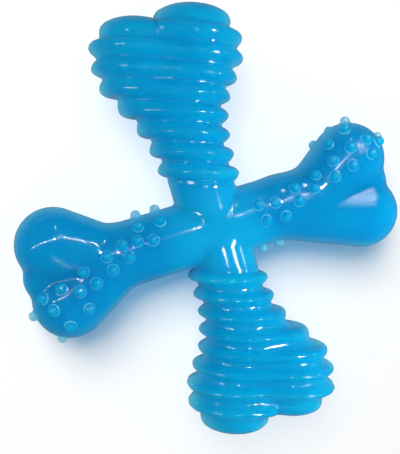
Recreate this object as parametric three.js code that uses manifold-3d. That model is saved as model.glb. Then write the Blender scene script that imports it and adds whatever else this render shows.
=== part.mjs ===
// Puppy chew bone: a nubbed bone and a ribbed bone that cross at right angles in one plane.
// Millimetres, Z up. X runs along the nubbed bone, Y along the ribbed one, and it rests on z = 0.
import * as THREE from 'three';
import { mergeVertices } from 'three/addons/utils/BufferGeometryUtils.js';
import Module from 'manifold-3d';

const wasm = await Module();
wasm.setup();

// Joint and resting flats
const lapClearance = 0.3; // all round the cross-lap where the bones meet
const footDepth = 0.4; // how deep the ribs and nubs are flattened where they rest

// Nubbed bone
const nubbedLength = 116.5; // over both pairs of knuckles
const nubbedShaft = 19.8; // diameter
const nubbedKnuckle = 22.4; // diameter
const smoothFlareStart = 30; // from the crossing to where a smooth knuckle leaves the shaft
const rougherFlareStart = 34; // and a nubbed knuckle
const smoothKnuckleOffset = 9; // from the bone's axis to the middle of a smooth knuckle
const rougherKnuckleOffset = 8.2; // from the bone's axis to the middle of a nubbed knuckle
const nubbedCleftDepth = 1.6; // of the end between two knuckles
const nubbedCleftFloor = 16; // diameter of the shaft where it ends between two knuckles

// Ribbed bone, measured in the grooves between its ribs
const ribbedLength = 128;
const ribbedShaft = 19.4; // diameter
const ribbedKnuckle = 25.6; // width of one knuckle
const ribbedFlareStart = 34;
const ribbedKnuckleOffset = 8.5;
const ribbedCleftDepth = 1.6;
const ribbedCleftFloor = 16.6;
const creaseBlend = 3; // how far the knuckles and the shaft melt into each other

// Ribs: rounded bands that run slanting round the bone
const ribHeight = 1.6;
const ribPitch = 6.05; // along the bone
const ribSlant = 20; // degrees, off square to the bone
const firstRib = 16.6; // from the crossing to the crest of the first rib
const ribsPerArm = 8; // rings that go right round; the longer side of the slant has a cap beyond them
const ribCrestFlatness = 0.6; // power of the half wave: below 1 the crest widens

// Nubs: round-topped pegs
const nubDiameter = 3.2;
const nubHeight = 2.2;
const nubRoot = 1; // how far a nub reaches into the bone

// The chew rests on both bones, so its ribs reach as far down as the lowest nubs. Those stand on the
// nubbed knuckles, or just before them where the shaft has swollen by melting into thin knuckles.
const swollenShaft = nubbedShaft + 0.7 * creaseBlend;
const nubbedThickness = Math.max(nubbedKnuckle, swollenShaft);
const ribbedKnuckleThickness = nubbedThickness + 2 * (nubHeight - ribHeight);

// Places of nubs on each arm, one pair each. On a shaft: distance from the crossing, then degrees
// round the bone from its upper face, with 90 on the side of the smooth knuckle. On a knuckle:
// degrees off the bone's direction towards the smooth knuckle, then degrees above the middle plane.
// Every nub off the middle plane has a twin on the lower face.
const nubPlaces = {
  left: {
    shaft: [
      [15.5, 90], [21.5, 90], [15.5, 46], [22, 48], [19, 17], [23.5, 23], [28, 23], [33, 13],
      [27, 2], [32.5, -10], [40.5, 0], [38, -21], [43, -24], [42, -46],
    ],
    knuckle: [[82, 60], [33, 47], [5, 66], [-75, 60], [-7, 0], [-61, 0]],
  },
  right: {
    shaft: [
      [13.5, 90], [19, 90], [13.5, -22], [18.5, -17], [14.5, 8], [20.5, 11], [25.5, -8], [25.5, -31],
      [31, -21], [33, -42], [39, -47], [38, -27], [44, -32], [45, -50], [40, -67], [46, -70],
    ],
    knuckle: [[-8, 72], [-55, 58], [-22, 44], [-79, 0], [-20, 2]],
  },
};

// Mesh fineness
const pointsAround = 36;
const nubbedRings = 30;
const ringsPerRib = 4;
const capRings = 9;
const nubSides = 8;
const halvings = 36; // in the search for the surface along a ray
const weld = 1e-4; // vertices closer than this are one

const tpeBlue = 0x0a93d6;
const tau = 2 * Math.PI;
const farAway = 2 * Math.max(nubbedLength, ribbedLength);

// Distance to a rod with round ends whose radius changes from one end to the other
function taperedRod(point, from, to, fromRadius, toRadius) {
  const axis = to.clone().sub(from);
  const length = axis.length();
  const offset = point.clone().sub(from);
  const along = offset.dot(axis) / length;
  const across = Math.sqrt(Math.max(offset.lengthSq() - along * along, 0));
  const slope = (fromRadius - toRadius) / length;
  const rise = Math.sqrt(1 - slope * slope);
  const seat = along * rise - across * slope;
  if (seat < 0) return Math.hypot(along, across) - fromRadius;
  if (seat > length * rise) return Math.hypot(along - length, across) - toRadius;
  return across * rise + along * slope - fromRadius;
}

// The smaller of two distances, rounded off where they meet
function blend(a, b, reach) {
  const share = Math.max(reach - Math.abs(a - b), 0) / reach;
  return Math.min(a, b) - (share * share * reach) / 4;
}

// A bone lies along X in the middle plane. Its two ends are the same after a half turn.
function makeBone({ length, shaft, knuckle, thickness, flareStarts, offsets, cleftDepth, cleftFloor }) {
  const tip = length / 2 - knuckle / 2;
  const flatten = knuckle / thickness;
  const flares = flareStarts.map((start) => new THREE.Vector3(start, 0, 0));
  const taperStart = new THREE.Vector3(Math.max(...flareStarts), 0, 0);
  const shaftEnd = new THREE.Vector3(length / 2 - cleftDepth - cleftFloor / 2, 0, 0);
  const middles = offsets.map((offset) => new THREE.Vector3(tip, offset, 0));
  const distance = (point) => {
    const turn = point.x < 0 ? -1 : 1;
    const p = new THREE.Vector3(point.x * turn, point.y * turn, point.z);
    const wide = new THREE.Vector3(p.x, p.y, p.z * flatten);
    const rod = taperedRod(p, new THREE.Vector3(), taperStart, shaft / 2, shaft / 2);
    const core = taperedRod(p, taperStart, shaftEnd, shaft / 2, cleftFloor / 2);
    const ends = middles.map((m, i) => taperedRod(wide, flares[i], m, shaft / 2, knuckle / 2));
    const pair = blend(ends[0], ends[1], creaseBlend);
    return blend(pair, Math.min(rod, core), creaseBlend);
  };
  return { tip, middles, distance };
}

// The point where a ray from inside a bone leaves it
function surfacePoint(distance, start, direction) {
  let near = 0;
  let far = farAway;
  const at = (t) => start.clone().addScaledVector(direction, t);
  for (let i = 0; i < halvings; i += 1) {
    const middle = (near + far) / 2;
    if (distance(at(middle)) < 0) near = middle;
    else far = middle;
  }
  return at((near + far) / 2);
}

function surfaceNormal(distance, point) {
  const step = 0.01;
  const slopes = [0, 1, 2].map((k) => {
    const ahead = point.clone().setComponent(k, point.getComponent(k) + step);
    const behind = point.clone().setComponent(k, point.getComponent(k) - step);
    return distance(ahead) - distance(behind);
  });
  return new THREE.Vector3(...slopes).normalize();
}

// A capsule whose rings lie at a slant to its axis, with each vertex pushed out to the surface
function skin(distance, spine, rings, slant = 0) {
  const unit = 1;
  const capsule = new THREE.CapsuleGeometry(unit, 2 * spine, capRings, pointsAround, rings);
  capsule.rotateZ(-Math.PI / 2);
  const places = capsule.getAttribute('position');
  const up = new THREE.Vector3(0, 0, 1);
  for (let i = 0; i < places.count; i += 1) {
    const vertex = new THREE.Vector3().fromBufferAttribute(places, i);
    const start = new THREE.Vector3(THREE.MathUtils.clamp(vertex.x, -spine, spine), 0, 0);
    const direction = vertex.sub(start).normalize().applyAxisAngle(up, -slant);
    const point = surfacePoint(distance, start, direction);
    places.setXYZ(i, point.x, point.y, point.z);
  }
  return toSolid(capsule);
}

// Solids for cutting and joining
function toSolid(geometry) {
  const bare = geometry.clone();
  bare.deleteAttribute('normal');
  bare.deleteAttribute('uv');
  const merged = mergeVertices(bare, weld);
  const index = merged.getIndex().array;
  const kept = [];
  for (let i = 0; i < index.length; i += 3) {
    const [a, b, c] = index.slice(i, i + 3);
    if (a !== b && b !== c && c !== a) kept.push(a, b, c);
  }
  const mesh = new wasm.Mesh({
    numProp: 3,
    vertProperties: Float32Array.from(merged.getAttribute('position').array),
    triVerts: Uint32Array.from(kept),
  });
  return new wasm.Manifold(mesh);
}

function toMesh(solid, name) {
  const { vertProperties, triVerts } = solid.getMesh();
  const geometry = new THREE.BufferGeometry();
  geometry.setAttribute('position', new THREE.BufferAttribute(vertProperties, 3));
  geometry.setIndex(new THREE.BufferAttribute(triVerts, 1));
  geometry.computeVertexNormals();
  const material = new THREE.MeshStandardMaterial({ color: tpeBlue, roughness: 0.2, metalness: 0 });
  const mesh = new THREE.Mesh(geometry, material);
  mesh.name = name;
  return mesh;
}

// A block that fills everything between two heights
function layer(bottom, top) {
  const block = new THREE.BoxGeometry(farAway, farAway, top - bottom);
  block.translate(0, 0, (bottom + top) / 2);
  return toSolid(block);
}

const nubbed = makeBone({
  length: nubbedLength,
  shaft: nubbedShaft,
  knuckle: nubbedKnuckle,
  thickness: nubbedKnuckle,
  flareStarts: [smoothFlareStart, rougherFlareStart],
  offsets: [-smoothKnuckleOffset, rougherKnuckleOffset],
  cleftDepth: nubbedCleftDepth,
  cleftFloor: nubbedCleftFloor,
});
const ribbed = makeBone({
  length: ribbedLength,
  shaft: ribbedShaft,
  knuckle: ribbedKnuckle,
  thickness: ribbedKnuckleThickness,
  flareStarts: [ribbedFlareStart, ribbedFlareStart],
  offsets: [-ribbedKnuckleOffset, ribbedKnuckleOffset],
  cleftDepth: ribbedCleftDepth,
  cleftFloor: ribbedCleftFloor,
});

// How far the surface stands above the grooves, by the place along the bone measured at the slant.
// Past its last groove, the end of each knuckle is one smooth cap as high as the ribs.
const slant = THREE.MathUtils.degToRad(ribSlant);
function ribRelief(point) {
  const turn = point.x < 0 ? -1 : 1;
  const place = (point.x - point.y * Math.tan(slant)) * turn - firstRib;
  if (place < -ribPitch / 2) return 0;
  const lastCrest = point.y * turn < 0 ? ribsPerArm : ribsPerArm - 1;
  const wave = Math.abs(Math.cos(Math.PI * Math.min(place / ribPitch, lastCrest)));
  return ribHeight * wave ** ribCrestFlatness;
}

// The spine of the ribbed bone ends in a groove, so that every crest and groove has a ring of its own
const ribsOnSpine = Math.floor((ribbed.tip + ribPitch / 2 - firstRib) / ribPitch) + 0.5;
const ribbedSpine = firstRib + ribsOnSpine * ribPitch;
const ribbedRings = Math.round((2 * ribbedSpine * ringsPerRib) / ribPitch);
const ribbedSkin = (gap) => {
  const raised = (point) => ribbed.distance(point) - ribRelief(point) - gap;
  return skin(raised, ribbedSpine, ribbedRings, slant).rotate([0, 0, 90]);
};
const nubbedSkin = (gap) => skin((point) => nubbed.distance(point) - gap, nubbed.tip, nubbedRings);

// One nub: a round-topped peg standing along Y, with its root below the bone's surface
const nubRadius = nubDiameter / 2;
const nubProfile = [
  new THREE.Vector2(0, -nubRoot),
  new THREE.Vector2(nubRadius, -nubRoot),
  new THREE.Vector2(nubRadius, nubHeight - nubRadius),
  new THREE.Vector2(nubRadius * Math.cos(tau / 8), nubHeight - nubRadius * (1 - Math.sin(tau / 8))),
  new THREE.Vector2(0, nubHeight),
];
const nubShape = new THREE.LatheGeometry(nubProfile, nubSides);

function nubAt(start, direction) {
  const point = surfacePoint(nubbed.distance, start, direction);
  const normal = surfaceNormal(nubbed.distance, point);
  const turn = new THREE.Quaternion().setFromUnitVectors(new THREE.Vector3(0, 1, 0), normal);
  const place = new THREE.Matrix4().compose(point, turn, new THREE.Vector3(1, 1, 1));
  return toSolid(nubShape.clone().applyMatrix4(place));
}

// The rays that nubs stand on, with the arm along +X and the nubbed knuckle towards +Y
function nubRays({ shaft, knuckle }) {
  const onShaft = shaft.map(([along, degrees]) => {
    const turn = THREE.MathUtils.degToRad(degrees);
    const direction = new THREE.Vector3(0, -Math.sin(turn), Math.cos(turn));
    return [new THREE.Vector3(along, 0, 0), direction];
  });
  const onKnuckle = knuckle.map(([bearing, rise]) => {
    const turn = THREE.MathUtils.degToRad(bearing);
    const lift = THREE.MathUtils.degToRad(rise);
    const flat = new THREE.Vector3(Math.cos(turn), -Math.sin(turn), 0).multiplyScalar(Math.cos(lift));
    return [nubbed.middles[1].clone(), flat.setZ(Math.sin(lift))];
  });
  return [...onShaft, ...onKnuckle];
}

function makeNubs() {
  const nubs = [];
  const halfTurn = { left: -1, right: 1 };
  const leastRise = 0.1; // a nub that leans less than this out of the middle plane has no twin
  for (const [arm, places] of Object.entries(nubPlaces)) {
    const turn = new THREE.Vector3(halfTurn[arm], halfTurn[arm], 1);
    for (const [start, direction] of nubRays(places)) {
      start.multiply(turn);
      direction.multiply(turn);
      nubs.push(nubAt(start, direction));
      if (direction.z > leastRise) {
        direction.z *= -1;
        nubs.push(nubAt(start, direction));
      }
    }
  }
  return nubs;
}

// Height of the middle plane, so that the lowest ribs and nubs rest on z = 0 after they are flattened
const ribbedReach = ribbedKnuckleThickness / 2 + ribHeight;
const nubbedReach = nubbedThickness / 2 + nubHeight;
const middleHeight = Math.max(ribbedReach, nubbedReach) - footDepth;
const below = layer(-farAway, -middleHeight);

// Cross-lap: the nubbed bone keeps the upper half of the crossing and the ribbed bone the lower half
const upperHalf = layer(-lapClearance / 2, farAway);
const lowerHalf = layer(-farAway, lapClearance / 2);
const withNubs = makeNubs().reduce((bone, nub) => bone.add(nub), nubbedSkin(0));
const nubbedSolid = withNubs.subtract(ribbedSkin(lapClearance).intersect(lowerHalf)).subtract(below);
const ribbedSolid = ribbedSkin(0).subtract(nubbedSkin(lapClearance).intersect(upperHalf)).subtract(below);

const chewBone = new THREE.Group();
chewBone.position.z = middleHeight;
chewBone.add(toMesh(nubbedSolid, 'nubbed_bone'));
chewBone.add(toMesh(ribbedSolid, 'ribbed_bone'));

export default chewBone;
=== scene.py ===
# Puppy chew bone: two crossed bones moulded in one go from soft, clear blue rubber.
# Sizes are in millimetres and are turned to metres where a mesh is made.
import math
import bpy
import numpy as np
from mathutils import Matrix, Vector


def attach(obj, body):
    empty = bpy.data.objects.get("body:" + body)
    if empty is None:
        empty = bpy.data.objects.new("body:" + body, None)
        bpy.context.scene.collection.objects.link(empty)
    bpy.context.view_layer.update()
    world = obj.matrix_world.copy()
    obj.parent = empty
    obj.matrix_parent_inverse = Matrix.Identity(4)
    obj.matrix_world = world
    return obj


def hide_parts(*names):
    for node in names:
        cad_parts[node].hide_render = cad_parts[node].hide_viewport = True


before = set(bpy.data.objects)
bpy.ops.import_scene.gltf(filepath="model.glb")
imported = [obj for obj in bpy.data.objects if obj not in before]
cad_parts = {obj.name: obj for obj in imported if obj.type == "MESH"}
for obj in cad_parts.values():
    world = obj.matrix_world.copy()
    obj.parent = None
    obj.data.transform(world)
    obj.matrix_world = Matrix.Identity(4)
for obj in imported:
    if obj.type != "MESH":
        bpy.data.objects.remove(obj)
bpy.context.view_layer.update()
mm = 0.001
scene = bpy.context.scene
scene.view_settings.view_transform = "Standard"
print("frame loaded:", sorted(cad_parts))


# Small helpers
def hexColour(text):
    parts = [int(text[i:i + 2], 16) / 255 for i in (1, 3, 5)]
    linear = [c / 12.92 if c <= 0.04045 else ((c + 0.055) / 1.055) ** 2.4 for c in parts]
    return (*linear, 1.0)


def addNode(tree, kind, inputs=None, **settings):
    node = tree.nodes.new(kind)
    for name, value in settings.items():
        setattr(node, name, value)
    for key, value in (inputs or {}).items():
        if isinstance(value, bpy.types.NodeSocket):
            tree.links.new(value, node.inputs[key])
        else:
            node.inputs[key].default_value = value
    return node


def smoothStep(t):
    t = np.clip(t, 0, 1)
    return t * t * (3 - 2 * t)


# Shape of a bone: distances to round rods, blended where they meet
def taperedRod(p, start, end, startRadius, endRadius):
    axis = end - start
    length = np.linalg.norm(axis)
    offset = p - start
    along = offset @ axis / length
    across = np.sqrt(np.maximum((offset * offset).sum(-1) - along ** 2, 0))
    slope = (startRadius - endRadius) / length
    rise = math.sqrt(1 - slope * slope)
    seat = along * rise - across * slope
    nearStart = np.hypot(along, across) - startRadius
    nearEnd = np.hypot(along - length, across) - endRadius
    side = across * rise + along * slope - startRadius
    return np.where(seat < 0, nearStart, np.where(seat > length * rise, nearEnd, side))


def meltTogether(a, b, reach):
    share = np.maximum(reach - np.abs(a - b), 0) / reach
    return np.minimum(a, b) - share * share * reach / 4


def knuckleTip(bone):
    # from the crossing to the middle of a knuckle
    return bone["length"] / 2 - bone["knuckle"] / 2


def boneDistance(bone):
    tip = knuckleTip(bone)
    widen = np.array([1, 1, bone["knuckle"] / bone["thickness"]])
    taperStart = np.array([bone["coreStart"], 0, 0])
    shaft, knuckle, floor = bone["shaft"] / 2, bone["knuckle"] / 2, bone["cleftFloor"] / 2
    longer = np.array([bone["endStretch"], 0, 0])

    def distance(p):
        turn = np.where(p[..., :1] < 0, -1.0, 1.0)
        q = p * np.concatenate([turn, turn, np.ones_like(turn)], -1)
        rod = taperedRod(q, np.zeros(3), taperStart, shaft, shaft)
        halves = []
        for arm in bone["arms"]:
            shaftEnd = np.array([bone["length"] / 2 - arm["cleftDepth"] - floor, 0, 0])
            core = taperedRod(q, taperStart, shaftEnd, shaft, floor)
            ends = []
            for flare, offset in arm["knuckles"]:
                middle = np.array([tip, offset, 0])
                flared = taperedRod(q * widen, np.array([flare, 0, 0]), middle, shaft, knuckle)
                drawnOut = taperedRod(q * widen, middle, middle + longer, knuckle, knuckle)
                ends.append(np.minimum(flared, drawnOut))
            pair = meltTogether(ends[0], ends[1], bone["crease"])
            halves.append(meltTogether(pair, np.minimum(rod, core), bone["crease"]))
        return np.where(turn[..., 0] > 0, halves[0], halves[1])

    return distance


def flatEnded(distance, bone, slant):
    # the end of each knuckle is cut off along the slant of the ribs, with a rounded edge
    slope = math.tan(math.radians(slant))
    lean = math.cos(math.radians(slant))
    near, far = bone["ends"]

    def ended(p):
        turn = np.where(p[..., :1] < 0, -1.0, 1.0)
        q = p * np.concatenate([turn, turn, np.ones_like(turn)], -1)
        place = q[..., 0] - q[..., 1] * slope
        farSide = smoothStep(0.5 - q[..., 1] / bone["capBlend"])
        face = (place - (near + (far - near) * farSide)) * lean
        return -meltTogether(-distance(p), -face, bone["endRound"])

    return ended


def turned(distance):
    # the same shape along Y: its own X is the frame's Y
    return lambda p: distance(np.stack([p[..., 1], -p[..., 0], p[..., 2]], -1))


def moved(distance, by):
    return lambda p: distance(p - by)


def filleted(own, other):
    # each bone rises to the middle of the fillet and then dives under the other one
    reach = crossing["filletReach"]
    dive = crossing["diveReach"]

    def distance(p):
        mine = own(p)
        gap = mine - other(p)
        share = np.maximum(reach + gap, 0) / reach
        rising = share * share * reach / 4
        diving = (reach / 4 + gap / 2) * (1 - smoothStep(gap / dive))
        return mine - np.where(gap < 0, rising, diving)

    return distance


def reachSurface(distance, start, direction, farthest=45.0, halvings=26):
    near = np.zeros(direction.shape[:-1])
    far = np.full(direction.shape[:-1], farthest)
    for _ in range(halvings):
        middle = (near + far) / 2
        inside = distance(start + direction * middle[..., None]) < 0
        near = np.where(inside, middle, near)
        far = np.where(inside, far, middle)
    return start + direction * ((near + far) / 2)[..., None]


def slopeOf(distance, p, step=0.01):
    slopes = [distance(p + step * e) - distance(p - step * e) for e in np.eye(3)]
    normal = np.stack(slopes, -1)
    return normal / np.linalg.norm(normal, axis=-1, keepdims=True)


def skinMesh(name, distance, spine, rings, capRings, around, slant, alongY):
    # rings of points round the spine, closed at both ends by a point
    lats = np.linspace(-math.pi / 2, 0, capRings + 1)[1:-1]
    rows = [(-spine, lat) for lat in lats]
    rows += [(x, 0.0) for x in np.linspace(-spine, spine, rings + 1)]
    rows += [(spine, -lat) for lat in lats[::-1]]
    theta = np.linspace(0, 2 * math.pi, around, endpoint=False)
    lat = np.array([row[1] for row in rows])[:, None]
    start = np.zeros((len(rows), around, 3))
    start[..., 0] = np.array([row[0] for row in rows])[:, None]
    turn = -math.radians(slant)
    aim = np.stack([np.sin(lat) + 0 * theta, np.cos(lat) * np.cos(theta), np.cos(lat) * np.sin(theta)], -1)
    ends = np.array([[-1.0, 0, 0], [1.0, 0, 0]])
    starts = np.concatenate([start.reshape(-1, 3), ends * spine])
    aims = np.concatenate([aim.reshape(-1, 3), ends])
    spin = np.array([[math.cos(turn), -math.sin(turn), 0], [math.sin(turn), math.cos(turn), 0], [0, 0, 1]])
    aims = aims @ spin.T
    if alongY:
        quarter = np.array([[0, -1, 0], [1, 0, 0], [0, 0, 1]])
        starts, aims = starts @ quarter.T, aims @ quarter.T
    points = reachSurface(distance, starts, aims)
    count = len(rows)
    index = np.arange(count * around).reshape(count, around)
    after = np.roll(index, -1, axis=1)
    quads = np.stack([index[:-1], after[:-1], after[1:], index[1:]], -1).reshape(-1, 4)
    first, last = count * around, count * around + 1
    faces = [tuple(q) for q in quads.tolist()]
    faces += [(first, b, a) for a, b in zip(index[0].tolist(), after[0].tolist())]
    faces += [(last, a, b) for a, b in zip(index[-1].tolist(), after[-1].tolist())]
    mesh = bpy.data.meshes.new(name)
    mesh.from_pydata(((points + [0, 0, middleHeight]) * mm).tolist(), [], faces)
    mesh.update()
    return mesh


def meshObject(name, mesh):
    thing = bpy.data.objects.new(name, mesh)
    scene.collection.objects.link(thing)
    return thing


def modifierInput(tree, name):
    sockets = [s for s in tree.interface.items_tree if s.item_type == "SOCKET" and s.in_out == "INPUT"]
    return next(s.identifier for s in sockets if s.name == name)


def bakeNodes(thing, tree, values):
    # run the tree once and keep its result as a plain mesh
    modifier = thing.modifiers.new(tree.name, "NODES")
    modifier.node_group = tree
    for name, value in values.items():
        modifier[modifierInput(tree, name)] = value
    thing.update_tag()
    bpy.context.view_layer.update()
    graph = bpy.context.evaluated_depsgraph_get()
    made = bpy.data.meshes.new_from_object(thing.evaluated_get(graph), depsgraph=graph)
    thing.modifiers.remove(modifier)
    thing.data = made


# Blue thermoplastic rubber, injection moulded and unpainted: a soft gel that light sinks into,
# so its shade is even and its thin edges are pale, under a skin glossy enough for sharp sparks.
# The colours below also paint light and shade into it: paler flanks, hollows, crossing and nub roots, and
# shade on nub tops
gel = dict(
    deep="#008ACA", body="#009AD0", crossingPaintedLight="#0AB0E2", hollow="#08B0DC",
    flankPaintedLight="#60CCEA", nubTop="#0094CE", nubRing="#60CCEC", nubSide="#5CB0D0",
    cloudSize=26.0, cloudShare=0.4, cloudRange=(0.35, 0.65),
    scatterDepth=18.0, meltReach=4.0, roughness=0.08, ior=1.47,
    grainSize=0.9, grainHeight=0.006, shadowTint="#7CB4CC",
)


def makeGel():
    material = bpy.data.materials.new("blueMouldedTpe")
    material.use_nodes = True
    tree = material.node_tree
    tree.nodes.clear()
    place = addNode(tree, "ShaderNodeTexCoord")
    cloud = addNode(tree, "ShaderNodeTexNoise", {
        "Vector": place.outputs["Object"], "Scale": 1 / (gel["cloudSize"] * mm), "Detail": 2.0})
    share = addNode(tree, "ShaderNodeMapRange", {
        "Value": cloud.outputs["Fac"], "From Min": gel["cloudRange"][0], "From Max": gel["cloudRange"][1],
        "To Max": gel["cloudShare"]})
    colour = addNode(tree, "ShaderNodeMix", {
        0: share.outputs["Result"], 6: hexColour(gel["body"]), 7: hexColour(gel["deep"])}, data_type="RGBA")
    # painted light: the crossing, the hollows between ribs, the flanks and the roots of the nubs are painted
    # paler, as if light came up through the gel, and nubs that stand out sideways are painted pale as if
    # nearly clear;
    # painted shade: the tops of the nubs are a shade darker
    for attribute in ("crossingPaintedLight", "hollow", "flankPaintedLight", "nubTop", "nubRing", "nubSide"):
        noted = addNode(tree, "ShaderNodeAttribute", attribute_name=attribute)
        colour = addNode(tree, "ShaderNodeMix", {
            0: noted.outputs["Fac"], 6: colour.outputs[2], 7: hexColour(gel[attribute])}, data_type="RGBA")
    grain = addNode(tree, "ShaderNodeTexNoise", {
        "Vector": place.outputs["Object"], "Scale": 1 / (gel["grainSize"] * mm), "Detail": 1.0})
    bump = addNode(tree, "ShaderNodeBump", {
        "Height": grain.outputs["Fac"], "Distance": gel["grainHeight"] * mm, "Strength": 1.0})
    seam = addNode(tree, "ShaderNodeAttribute", attribute_name="seam")
    depth = addNode(tree, "ShaderNodeMapRange", {
        "Value": seam.outputs["Fac"], "From Max": gel["meltReach"], "To Max": gel["scatterDepth"] * mm})
    rubber = addNode(tree, "ShaderNodeBsdfPrincipled", {
        "Base Color": colour.outputs[2], "Normal": bump.outputs["Normal"],
        "Roughness": gel["roughness"], "IOR": gel["ior"], "Subsurface Weight": 1.0,
        "Subsurface Radius": (1.0, 1.0, 1.0), "Subsurface Scale": depth.outputs["Result"]})
    tinted = addNode(tree, "ShaderNodeBsdfTransparent", {"Color": hexColour(gel["shadowTint"])})
    path = addNode(tree, "ShaderNodeLightPath")
    either = addNode(tree, "ShaderNodeMixShader", {
        0: path.outputs["Is Shadow Ray"], 1: rubber.outputs[0], 2: tinted.outputs[0]})
    addNode(tree, "ShaderNodeOutputMaterial", {"Surface": either.outputs[0]})
    return material


blueGel = makeGel()
print("material made:", blueGel.name)

# Both bones lie in one plane. Each arm, first the one at the positive end, has two knuckles: where the
# shaft starts to flare towards it, and how far it stands off the middle line.
crossing = dict(filletReach=1.2, diveReach=1.44, nubbedMove=(-0.45, 0, 0), ribbedMove=(0, 0.9, 0))
nubbedBone = dict(
    length=116.5, shaft=19.8, knuckle=22.4, thickness=22.4, coreStart=34, cleftFloor=16.0, crease=1.4,
    arms=(
        dict(knuckles=((22, -9.0), (34, 8.2)), cleftDepth=1.1),
        dict(knuckles=((33, -9.0), (31, 8.2)), cleftDepth=-0.3)),
    endStretch=0.01,  # round knuckles, hardly drawn out
    rings=236, capRings=30, around=200,
)
# its knuckles are drawn out and cut off flat, on one side of the cleft nearer than on the other
ribbedBone = dict(
    length=126.9, shaft=19.4, knuckle=24.5, thickness=22.5, coreStart=34, cleftFloor=18.6, crease=4.0,
    arms=(
        dict(knuckles=((34, -9.2), (31, 7.8)), cleftDepth=1.1),
        dict(knuckles=((34, -8.5), (33, 10.2)), cleftDepth=0.6)),
    endStretch=3.4, ends=(62.0, 67.4), endRound=9.0, capBlend=4.0,
    rings=300, capRings=40, around=210, ribsOnSpine=5.5,
)
# widths of the lower and upper arm's ribs; fadeIn counts in ribs from the crest of the first one
ribs = dict(
    height=2.25, sunk=0.15, pitch=6.0, slant=19.0, first=16.6, perArm=8, widths=(3.6, 4.7),
    roundness=0.6, swell=0.3, fadeIn=(-0.75, -0.25))
nubs = dict(diameter=2.9, height=2.0, dome=1.2, root=1.4, flare=1.6, sunk=0.55, sides=32, steps=9)
footDepth = 0.4  # how deep the lowest ribs and nubs are flattened
middleHeight = ribbedBone["thickness"] / 2 + ribs["height"] - ribs["sunk"] - footDepth

nubbedOwn = boneDistance(nubbedBone)
ribbedOwn = turned(flatEnded(boneDistance(ribbedBone), ribbedBone, ribs["slant"]))
nubbedMove, ribbedMove = np.array(crossing["nubbedMove"]), np.array(crossing["ribbedMove"])
ribbedSeen = moved(ribbedOwn, ribbedMove - nubbedMove)  # the other bone, from each bone's own middle
nubbedSeen = moved(nubbedOwn, nubbedMove - ribbedMove)
nubbedShape = filleted(nubbedOwn, ribbedSeen)
ribbedShape = filleted(ribbedOwn, nubbedSeen)


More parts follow.
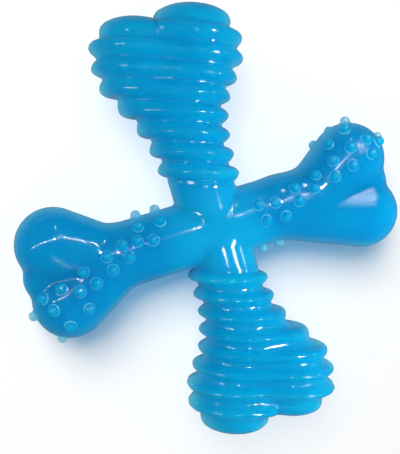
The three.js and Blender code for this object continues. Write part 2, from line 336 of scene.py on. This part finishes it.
# Ribbed bone
def ribTree():
    tree = bpy.data.node_groups.new("slantingRibs", "GeometryNodeTree")
    face = tree.interface
    face.new_socket("Geometry", in_out="INPUT", socket_type="NodeSocketGeometry")
    sizes = (
        "Height", "Sunk", "Pitch", "Slope", "First Rib", "Ribs", "Lower Width", "Upper Width",
        "Roundness", "Swell", "Cap Blend")
    for name in sizes:
        face.new_socket(name, in_out="INPUT", socket_type="NodeSocketFloat")
    face.new_socket("Material", in_out="INPUT", socket_type="NodeSocketMaterial")
    face.new_socket("Geometry", in_out="OUTPUT", socket_type="NodeSocketGeometry")
    given = addNode(tree, "NodeGroupInput").outputs
    place = addNode(tree, "GeometryNodeInputPosition")
    axes = addNode(tree, "ShaderNodeSeparateXYZ", {0: place.outputs[0]}).outputs
    # the place along an arm, at the slant, counted in ribs from the first crest
    arm = addNode(tree, "ShaderNodeMath", {0: axes["Y"]}, operation="SIGN").outputs[0]
    count = addNode(tree, "ShaderNodeMath", {
        0: axes["X"], 1: given["Slope"], 2: axes["Y"]}, operation="MULTIPLY_ADD").outputs[0]
    for operation, amount in (
            ("MULTIPLY", arm), ("SUBTRACT", given["First Rib"]), ("DIVIDE", given["Pitch"])):
        count = addNode(tree, "ShaderNodeMath", {0: count, 1: amount}, operation=operation).outputs[0]
    started = addNode(tree, "ShaderNodeMapRange", {
        "Value": count, "From Min": ribs["fadeIn"][0], "From Max": ribs["fadeIn"][1],
    }, interpolation_type="SMOOTHSTEP").outputs["Result"]
    # the longer side of the slant has one crest more, and its last one runs on as a flat cap
    side = addNode(tree, "ShaderNodeMath", {0: axes["X"], 1: arm}, operation="MULTIPLY").outputs[0]
    blendHalf = addNode(tree, "ShaderNodeMath", {
        0: given["Cap Blend"], 1: 0.5}, operation="MULTIPLY").outputs[0]
    blendStart = addNode(tree, "ShaderNodeMath", {0: blendHalf, 1: -1.0}, operation="MULTIPLY").outputs[0]
    longSide = addNode(tree, "ShaderNodeMapRange", {
        "Value": side, "From Min": blendStart, "From Max": blendHalf}, interpolation_type="SMOOTHSTEP")
    oneLess = addNode(tree, "ShaderNodeMath", {0: given["Ribs"], 1: 1.0}, operation="SUBTRACT").outputs[0]
    width = addNode(tree, "ShaderNodeMapRange", {
        "Value": arm, "From Min": -1.0, "To Min": given["Lower Width"], "To Max": given["Upper Width"]})
    halfWidth = addNode(tree, "ShaderNodeMath", {
        0: width.outputs["Result"], 1: 0.5}, operation="MULTIPLY").outputs[0]
    beads = []
    for last in (oneLess, given["Ribs"]):
        within = addNode(tree, "ShaderNodeMath", {0: count, 1: last}, operation="MINIMUM").outputs[0]
        crest = addNode(tree, "ShaderNodeMath", {0: within}, operation="ROUND").outputs[0]
        fromCrest = addNode(tree, "ShaderNodeMath", {0: within, 1: crest}, operation="SUBTRACT").outputs[0]
        # a half round on each crest, softened by a wave from crest to crest
        halfRound, wave = fromCrest, fromCrest
        for operation, amount in (
                ("MULTIPLY", given["Pitch"]), ("DIVIDE", halfWidth), ("ABSOLUTE", 0.0), ("MINIMUM", 1.0),
                ("MULTIPLY", math.pi / 2), ("COSINE", 0.0), ("MAXIMUM", 0.0), ("POWER", given["Roundness"])):
            halfRound = addNode(tree, "ShaderNodeMath", {
                0: halfRound, 1: amount}, operation=operation).outputs[0]
        for operation, amount in (("MULTIPLY", math.pi), ("COSINE", 0.0), ("POWER", 2.0)):
            wave = addNode(tree, "ShaderNodeMath", {0: wave, 1: amount}, operation=operation).outputs[0]
        beads.append(addNode(tree, "ShaderNodeMix", {
            0: given["Swell"], 2: halfRound, 3: wave}, data_type="FLOAT").outputs[0])
    bead = addNode(tree, "ShaderNodeMix", {
        0: longSide.outputs["Result"], 2: beads[0], 3: beads[1]}, data_type="FLOAT").outputs[0]
    # grooves lie a little below the plain bone
    below = addNode(tree, "ShaderNodeMath", {0: given["Sunk"], 1: -1.0}, operation="MULTIPLY").outputs[0]
    standing = addNode(tree, "ShaderNodeMath", {
        0: bead, 1: given["Height"], 2: below}, operation="MULTIPLY_ADD").outputs[0]
    lift = addNode(tree, "ShaderNodeMath", {0: standing, 1: started}, operation="MULTIPLY").outputs[0]
    normal = addNode(tree, "GeometryNodeInputNormal")
    push = addNode(tree, "ShaderNodeVectorMath", {
        0: normal.outputs[0], "Scale": lift}, operation="SCALE")
    # painted light: the hollows between ribs are marked to be painted paler, against the shade that falls in
    # the grooves
    between = addNode(tree, "ShaderNodeMath", {0: 1.0, 1: bead}, operation="SUBTRACT").outputs[0]
    hollow = addNode(tree, "ShaderNodeMath", {0: between, 1: started}, operation="MULTIPLY").outputs[0]
    marked = addNode(tree, "GeometryNodeStoreNamedAttribute", {
        "Geometry": given["Geometry"], "Name": "hollow", "Value": hollow}, data_type="FLOAT", domain="POINT")
    raised = addNode(tree, "GeometryNodeSetPosition", {
        "Geometry": marked.outputs[0], "Offset": push.outputs[0]})
    smooth = addNode(tree, "GeometryNodeSetShadeSmooth", {"Geometry": raised.outputs[0]})
    whole = addNode(tree, "GeometryNodeRealizeInstances", {"Geometry": smooth.outputs[0]})
    painted = addNode(tree, "GeometryNodeSetMaterial", {
        "Geometry": whole.outputs[0], "Material": given["Material"]})
    addNode(tree, "NodeGroupOutput", {"Geometry": painted.outputs[0]})
    return tree


# Where light and shade are painted into the gel's colour, as if light came up through the gel. Reaches, rises
# and the nub roots' painted ring are in mm, and a tilt is how level the surface lies: 1 is flat and 0 stands
# on edge.
glow = dict(
    crossingLightReach=12, flankLightTilt=0.7, flankLightShare=0.9, topRise=1.0, asideTilt=0.6, asideBlend=0.4,
    rootLightRise=0.1, rootLightTop=0.15, rootLightFade=0.25)


def finishPiece(thing, distance, other, move, hasNubs):
    # rest flat on the floor in its place, and note how deep the gel scatters near the other bone and where
    # light and shade are painted into its colour
    mesh = thing.data
    points = np.zeros(len(mesh.vertices) * 3, np.float32)
    mesh.vertices.foreach_get("co", points)
    points = points.reshape(-1, 3)
    points[:, 2] = np.maximum(points[:, 2], 0)
    places = points.astype(float) / mm - [0, 0, middleHeight]
    mesh.vertices.foreach_set("co", (points + (move * mm).astype(np.float32)).ravel())
    above = distance(places)
    tilt = np.abs(slopeOf(distance, places)[:, 2])
    seam = other(places) - above
    # painted light: paler towards the crossing
    crossingPaintedLight = 1 - smoothStep(seam / glow["crossingLightReach"])
    # painted light: paler on flanks that stand steep, where the edges show
    flankPaintedLight = glow["flankLightShare"] * smoothStep((glow["flankLightTilt"] - tilt) / glow["flankLightTilt"])
    notes = dict(seam=seam, crossingPaintedLight=crossingPaintedLight, flankPaintedLight=flankPaintedLight)
    if hasNubs:
        # painted light and shade on nubs: tops a shade darker, a paler ring at their roots as if light
        # gathered there, and pale nubs where they stand out sideways, as if nearly clear
        standing = smoothStep(above / glow["topRise"])
        aside = smoothStep((glow["asideTilt"] - tilt) / glow["asideBlend"])
        rootLight = smoothStep(above / glow["rootLightRise"])
        rootLight = rootLight * (1 - smoothStep((above - glow["rootLightTop"]) / glow["rootLightFade"]))
        notes.update(nubTop=standing * (1 - aside), nubRing=rootLight * (1 - aside), nubSide=standing * aside)
    for name, values in notes.items():
        noted = mesh.attributes.new(name, "FLOAT", "POINT")
        noted.data.foreach_set("value", values.astype(np.float32))
    mesh.update()


ribbedSpine = ribs["first"] + ribbedBone["ribsOnSpine"] * ribs["pitch"]
ribbedPiece = meshObject("ribbedBone", skinMesh(
    "ribbedBone", ribbedShape, ribbedSpine, ribbedBone["rings"], ribbedBone["capRings"],
    ribbedBone["around"], ribs["slant"], True))
bakeNodes(ribbedPiece, ribTree(), {
    "Height": ribs["height"] * mm, "Pitch": ribs["pitch"] * mm, "First Rib": ribs["first"] * mm,
    "Slope": math.tan(math.radians(ribs["slant"])), "Ribs": float(ribs["perArm"]),
    "Sunk": ribs["sunk"] * mm, "Lower Width": ribs["widths"][0] * mm, "Upper Width": ribs["widths"][1] * mm,
    "Roundness": ribs["roundness"], "Swell": ribs["swell"], "Cap Blend": ribbedBone["capBlend"] * mm,
    "Material": blueGel})
finishPiece(ribbedPiece, ribbedShape, nubbedSeen, ribbedMove, False)
print("ribbed bone:", len(ribbedPiece.data.polygons), "faces")

# Nubbed bone. Places of nubs on each arm, one pair each. On a shaft: distance from the crossing, then
# degrees round the bone from its upper face, with 90 on the side of the smooth knuckle. On a knuckle:
# degrees off the bone's direction towards the smooth knuckle, then degrees above the middle plane.
nubPlaces = dict(
    left=dict(
        shaft=[
            (15.5, 90), (21.5, 90), (15.5, 46), (22, 48), (19, 17), (23.5, 23), (28, 23), (33, 13),
            (27, 2), (32.5, -10), (40.5, 0), (38, -21), (43, -24), (42, -46),
        ],
        knuckle=[(82, 60), (33, 47), (5, 66), (-75, 60), (-7, 0), (-61, 0)],
    ),
    right=dict(
        shaft=[
            (13.5, 90), (19, 90), (13.5, -22), (18.5, -17), (14.5, 8), (20.5, 11), (25.5, -8), (25.5, -31),
            (31, -21), (33, -42), (39, -47), (38, -27), (44, -32), (45, -50), (40, -67), (46, -70),
        ],
        knuckle=[(-8, 72), (-55, 58), (-22, 44), (-79, 0), (-20, 2)],
    ),
)


def nubRays():
    starts, aims = [], []
    knuckleMiddle = np.array([knuckleTip(nubbedBone), nubbedBone["arms"][0]["knuckles"][1][1], 0])
    for arm, turn in (("left", -1), ("right", 1)):
        half = np.array([turn, turn, 1])
        rays = []
        for along, degrees in nubPlaces[arm]["shaft"]:
            a = math.radians(degrees)
            rays.append((np.array([along, 0, 0]), np.array([0, -math.sin(a), math.cos(a)])))
        for bearing, rise in nubPlaces[arm]["knuckle"]:
            a, e = math.radians(bearing), math.radians(rise)
            flat = np.array([math.cos(a) * math.cos(e), -math.sin(a) * math.cos(e), math.sin(e)])
            rays.append((knuckleMiddle, flat))
        for start, aim in rays:
            starts.append(start * half)
            aims.append(aim * half)
            if aim[2] > 0.1:  # a nub off the middle plane has a twin on the lower face
                starts.append(start * half)
                aims.append(aim * half * [1, 1, -1])
    return np.array(starts, float), np.array(aims, float)


def nubShape():
    # a round-topped peg turned on Z, with a hollow flare that melts into the bone
    r, h, f, sunk, dome = nubs["diameter"] / 2, nubs["height"], nubs["flare"], nubs["sunk"], nubs["dome"]
    quarter = np.linspace(0, math.pi / 2, nubs["steps"])
    rise = h - dome + sunk
    profile = [(0, -nubs["root"]), (r + f, -nubs["root"])]
    profile += [(r + f * (1 - math.sin(a)), -sunk + rise * (1 - math.cos(a))) for a in quarter]
    profile += [(r * math.cos(a), h - dome * (1 - math.sin(a))) for a in quarter[1:-1]]
    profile += [(0, h)]
    sides = nubs["sides"]
    points, faces = [(0, 0, profile[0][1])], []
    for radius, z in profile[1:-1]:
        for k in range(sides):
            a = 2 * math.pi * k / sides
            points.append((radius * math.cos(a), radius * math.sin(a), z))
    points.append((0, 0, profile[-1][1]))
    top = len(points) - 1
    for k in range(sides):
        n = (k + 1) % sides
        faces.append((0, 1 + n, 1 + k))
        for row in range(len(profile) - 3):
            low, high = 1 + row * sides, 1 + (row + 1) * sides
            faces.append((low + k, low + n, high + n, high + k))
        faces.append((top - sides + k, top - sides + n, top))
    mesh = bpy.data.meshes.new("nub")
    mesh.from_pydata([tuple(c * mm for c in p) for p in points], [], faces)
    mesh.update()
    return mesh


def nubTree():
    tree = bpy.data.node_groups.new("standingNubs", "GeometryNodeTree")
    face = tree.interface
    face.new_socket("Geometry", in_out="INPUT", socket_type="NodeSocketGeometry")
    face.new_socket("Nub Places", in_out="INPUT", socket_type="NodeSocketObject")
    face.new_socket("Nub", in_out="INPUT", socket_type="NodeSocketObject")
    face.new_socket("Material", in_out="INPUT", socket_type="NodeSocketMaterial")
    face.new_socket("Geometry", in_out="OUTPUT", socket_type="NodeSocketGeometry")
    given = addNode(tree, "NodeGroupInput").outputs
    places = addNode(tree, "GeometryNodeObjectInfo", {"Object": given["Nub Places"]})
    nub = addNode(tree, "GeometryNodeObjectInfo", {"Object": given["Nub"], "As Instance": True})
    aim = addNode(tree, "GeometryNodeInputNamedAttribute", {"Name": "aim"}, data_type="FLOAT_VECTOR")
    stand = addNode(tree, "FunctionNodeAlignRotationToVector", {"Vector": aim.outputs[0]}, axis="Z")
    standing = addNode(tree, "GeometryNodeInstanceOnPoints", {
        "Points": places.outputs["Geometry"], "Instance": nub.outputs["Geometry"],
        "Rotation": stand.outputs[0]})
    solid = addNode(tree, "GeometryNodeRealizeInstances", {"Geometry": standing.outputs[0]})
    union = addNode(tree, "GeometryNodeMeshBoolean", operation="UNION", solver="MANIFOLD")
    tree.links.new(solid.outputs[0], union.inputs["Mesh 2"])
    tree.links.new(given["Geometry"], union.inputs["Mesh 2"])
    smooth = addNode(tree, "GeometryNodeSetShadeSmooth", {"Geometry": union.outputs["Mesh"]})
    whole = addNode(tree, "GeometryNodeRealizeInstances", {"Geometry": smooth.outputs[0]})
    painted = addNode(tree, "GeometryNodeSetMaterial", {
        "Geometry": whole.outputs[0], "Material": given["Material"]})
    addNode(tree, "NodeGroupOutput", {"Geometry": painted.outputs[0]})
    return tree


nubbedPiece = meshObject("nubbedBone", skinMesh(
    "nubbedBone", nubbedShape, knuckleTip(nubbedBone), nubbedBone["rings"], nubbedBone["capRings"],
    nubbedBone["around"], 0, False))
rayStarts, rayAims = nubRays()
nubFeet = reachSurface(nubbedShape, rayStarts, rayAims)
nubAims = slopeOf(nubbedShape, nubFeet)
placesMesh = bpy.data.meshes.new("nubPlaces")
placesMesh.from_pydata(((nubFeet + [0, 0, middleHeight]) * mm).tolist(), [], [])
aimAttribute = placesMesh.attributes.new("aim", "FLOAT_VECTOR", "POINT")
aimAttribute.data.foreach_set("vector", nubAims.astype(np.float32).ravel())
placesThing = meshObject("nubPlaces", placesMesh)
nubThing = meshObject("nub", nubShape())
bakeNodes(nubbedPiece, nubTree(), {"Nub Places": placesThing, "Nub": nubThing, "Material": blueGel})
for helper in (placesThing, nubThing):
    bpy.data.objects.remove(helper)
finishPiece(nubbedPiece, nubbedShape, ribbedSeen, nubbedMove, True)
print("nubbed bone:", len(nubbedPiece.data.polygons), "faces,", len(nubFeet), "nubs")

for piece, node in ((nubbedPiece, "nubbed_bone"), (ribbedPiece, "ribbed_bone")):
    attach(piece, "root")
    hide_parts(node)

# Floor, light and camera
studio = dict(
    floorSize=3000, floorWhite="#E0E4E8", floorSeen=0.95, floorMirrored=0.15, fadeStart=150, fadeEnd=500,
    worldLight=0.22, dimCeiling=0.08, backdrop=1.0)


def makeFloor():
    half = studio["floorSize"] / 2 * mm
    mesh = bpy.data.meshes.new("floor")
    corners = [(-half, -half, 0), (half, -half, 0), (half, half, 0), (-half, half, 0)]
    mesh.from_pydata(corners, [], [(0, 1, 2, 3)])
    floor = meshObject("floor", mesh)
    material = bpy.data.materials.new("whitePaper")
    material.use_nodes = True
    tree = material.node_tree
    tree.nodes.clear()
    # the paper is whiter for the camera, and dim in the gel's gloss
    path = addNode(tree, "ShaderNodeLightPath")
    colour = hexColour(studio["floorWhite"])
    for ray, shade in (("Is Camera Ray", studio["floorSeen"]), ("Is Glossy Ray", studio["floorMirrored"])):
        picked = addNode(tree, "ShaderNodeMix", {
            0: path.outputs[ray], 6: colour, 7: (shade, shade, shade, 1)}, data_type="RGBA")
        colour = picked.outputs[2]
    paper = addNode(tree, "ShaderNodeBsdfDiffuse", {"Color": colour})
    # far from the chew, what the camera sees of the paper fades into the white behind it
    place = addNode(tree, "ShaderNodeTexCoord")
    away = addNode(tree, "ShaderNodeVectorMath", {0: place.outputs["Object"]}, operation="LENGTH")
    fade = addNode(tree, "ShaderNodeMapRange", {
        "Value": away.outputs["Value"],
        "From Min": studio["fadeStart"] * mm, "From Max": studio["fadeEnd"] * mm,
    }, interpolation_type="SMOOTHSTEP")
    seen = addNode(tree, "ShaderNodeMath", {
        0: fade.outputs["Result"], 1: path.outputs["Is Camera Ray"]}, operation="MULTIPLY")
    white = addNode(tree, "ShaderNodeEmission", {"Strength": studio["backdrop"]})
    either = addNode(tree, "ShaderNodeMixShader", {
        0: seen.outputs[0], 1: paper.outputs[0], 2: white.outputs[0]})
    addNode(tree, "ShaderNodeOutputMaterial", {"Surface": either.outputs[0]})
    mesh.materials.append(material)


def makeWorld():
    world = bpy.data.worlds.new("whiteRoom")
    scene.world = world
    world.use_nodes = True
    tree = world.node_tree
    tree.nodes.clear()
    # white to the camera, a soft fill on the chew and the floor, and a dim ceiling in the gel's gloss
    path = addNode(tree, "ShaderNodeLightPath")
    level = addNode(tree, "ShaderNodeMapRange", {
        "Value": path.outputs["Is Glossy Ray"],
        "To Min": studio["worldLight"], "To Max": studio["dimCeiling"]})
    level = addNode(tree, "ShaderNodeMapRange", {
        "Value": path.outputs["Is Camera Ray"],
        "To Min": level.outputs["Result"], "To Max": studio["backdrop"]})
    air = addNode(tree, "ShaderNodeBackground", {"Color": (1, 1, 1, 1), "Strength": level.outputs["Result"]})
    addNode(tree, "ShaderNodeOutputWorld", {"Surface": air.outputs[0]})


nubbedOnly, ribbedOnly, floorOnly = ("nubbedBone",), ("ribbedBone",), ("floor",)
both = nubbedOnly + ribbedOnly
# Each lamp is a strip from start to end, in mm from the middle of the crossing, that faces the crossing.
# Soft lamps light surfaces and aren't mirrored in the gel. For skyBehind only the nubbed bone casts a
# shadow, so the shadow beside the ribbed bone is weaker.
softLamps = dict(
    skyRight=dict(start=(120, -170, 160), end=(120, 90, 160), thickness=200, power=0.4, only=both),
    skyWide=dict(start=(-300, 60, 500), end=(300, 60, 500), thickness=600, power=1.75, only=both),
    skyAbove=dict(
        start=(-1500, 1640, 2327), end=(700, 1640, 2327), thickness=2200, power=50, only=floorOnly),
    skyBehind=dict(
        start=(-1500, 1640, 2327), end=(700, 1640, 2327), thickness=2200, power=100, only=floorOnly,
        shadows=nubbedOnly),
    lowRight=dict(start=(60, -260, 60), end=(330, -120, 60), thickness=100, power=0.32, only=both),
    lowLeft=dict(start=(-330, -120, 60), end=(-180, 240, 60), thickness=100, power=0.24, only=both),
)
# Gloss lamps are mirrored in one bone's gel, and light nothing else
glossLamps = dict(
    tubeAbove=dict(
        start=(15, 190, 480), end=(-900, 190, 480), thickness=16, power=1.26, core=0.48, only=nubbedOnly),
    tubeAside=dict(
        start=(95, 180, 480), end=(460, 450, 480), thickness=16, power=0.62, core=0.44, only=nubbedOnly),
    tubeBelow=dict(start=(-80, -130, 480), end=(-420, -900, 480), thickness=5, power=0.12, only=nubbedOnly),
    slotAbove=dict(start=(185, 450, 380), end=(185, 530, 240), thickness=30, power=0.3, only=nubbedOnly),
    cardRight=dict(
        start=(85, 35, 240), end=(225, 175, 60), thickness=130, power=0.8, core=0.0, only=nubbedOnly),
    cardEnd=dict(start=(205, 150, 135), end=(225, 165, 105), thickness=16, power=0.03, only=nubbedOnly),
    spark=dict(start=(70, 190, 480), end=(82, 190, 480), thickness=50, power=1.2, only=nubbedOnly),
    windowRight=dict(start=(290, -190, 480), end=(430, -190, 480), thickness=300, power=5.2, only=ribbedOnly),
    sideRight=dict(start=(900, -330, 410), end=(900, -150, 410), thickness=60, power=0.7, only=ribbedOnly),
    windowAbove=dict(start=(-40, -84, 480), end=(60, -84, 480), thickness=44, power=0.28, only=ribbedOnly),
    sideLeft=dict(start=(-900, 0, 130), end=(-900, 140, 130), thickness=60, power=0.5, only=ribbedOnly),
    tubeLeft=dict(start=(-250, 106, 480), end=(-700, 106, 480), thickness=90, power=2.4, only=ribbedOnly),
)


def addLamp(name, mirrored, start, end, thickness, power, only, core=0.3, shadows=both):
    # a softbox, brightest in its core and fading to its edges
    lamp = bpy.data.lights.new(name, "AREA")
    lamp.shape = "RECTANGLE"
    span = Vector(end) - Vector(start)
    lamp.size, lamp.size_y = span.length * mm, thickness * mm
    lamp.energy = power
    lamp.use_nodes = True
    tree = lamp.node_tree
    tree.nodes.clear()
    place = addNode(tree, "ShaderNodeNewGeometry")
    axes = addNode(tree, "ShaderNodeSeparateXYZ", {0: place.outputs["Parametric"]}).outputs
    strength = 1.0
    for axis in ("X", "Y"):
        off = addNode(tree, "ShaderNodeMath", {0: axes[axis], 1: 0.5}, operation="SUBTRACT")
        off = addNode(tree, "ShaderNodeMath", {0: off.outputs[0]}, operation="ABSOLUTE")
        fade = addNode(tree, "ShaderNodeMapRange", {
            "Value": off.outputs[0], "From Min": 0.5, "From Max": core}, interpolation_type="SMOOTHSTEP")
        strength = addNode(tree, "ShaderNodeMath", {
            0: fade.outputs["Result"], 1: strength}, operation="MULTIPLY").outputs[0]
    glow = addNode(tree, "ShaderNodeEmission", {"Strength": strength})
    addNode(tree, "ShaderNodeOutputLight", {"Surface": glow.outputs[0]})
    thing = bpy.data.objects.new(name, lamp)
    scene.collection.objects.link(thing)
    thing.visible_camera = False
    thing.visible_glossy = mirrored
    thing.visible_diffuse = not mirrored
    for use, pieces in (("receiver", only), ("blocker", shadows)):
        linked = bpy.data.collections.new(name + use)
        for piece in pieces:
            linked.objects.link(bpy.data.objects[piece])
        setattr(thing.light_linking, use + "_collection", linked)
    along = span.normalized()
    middle = (Vector(start) + Vector(end)) / 2
    facing = (middle - along * middle.dot(along)).normalized()
    pose = Matrix((along, facing.cross(along), facing)).transposed().to_4x4()
    pose.translation = (middle + Vector((0, 0, middleHeight))) * mm
    thing.matrix_world = pose


makeFloor()
makeWorld()
for mirrored, lamps in ((False, softLamps), (True, glossLamps)):
    for name, given in lamps.items():
        addLamp(name, mirrored, **given)
print("floor and light made")

# The camera looks down on the crossing from the left arm's side. The picture is 454 pixels high, and
# the focal length was found in pixels too.
lookout = dict(
    distance=200, lean=(-0.154, 0.139), roll=17.0, focalPixels=654, heightPixels=454, sensor=36, aside=-4.3)
lean = Vector((*lookout["lean"], 0))
lean.z = math.sqrt(1 - lean.length_squared)
roll = math.radians(lookout["roll"])
across = Vector((math.cos(roll), -math.sin(roll), 0))
across = (across - lean * across.dot(lean)).normalized()
crossingPoint = Vector((0, 0, middleHeight))
spot = crossingPoint + lean * lookout["distance"]
back = (spot - (crossingPoint + across * lookout["aside"])).normalized()
across = (across - back * across.dot(back)).normalized()
upward = back.cross(across)
cameraData = bpy.data.cameras.new("camera")
cameraData.lens = lookout["focalPixels"] / lookout["heightPixels"] * lookout["sensor"]
cameraData.clip_start, cameraData.clip_end = 0.005, 20
camera = bpy.data.objects.new("camera", cameraData)
scene.collection.objects.link(camera)
pose = Matrix((across, upward, back)).transposed().to_4x4()
pose.translation = spot * mm
camera.matrix_world = pose
scene.camera = camera
print("camera made")
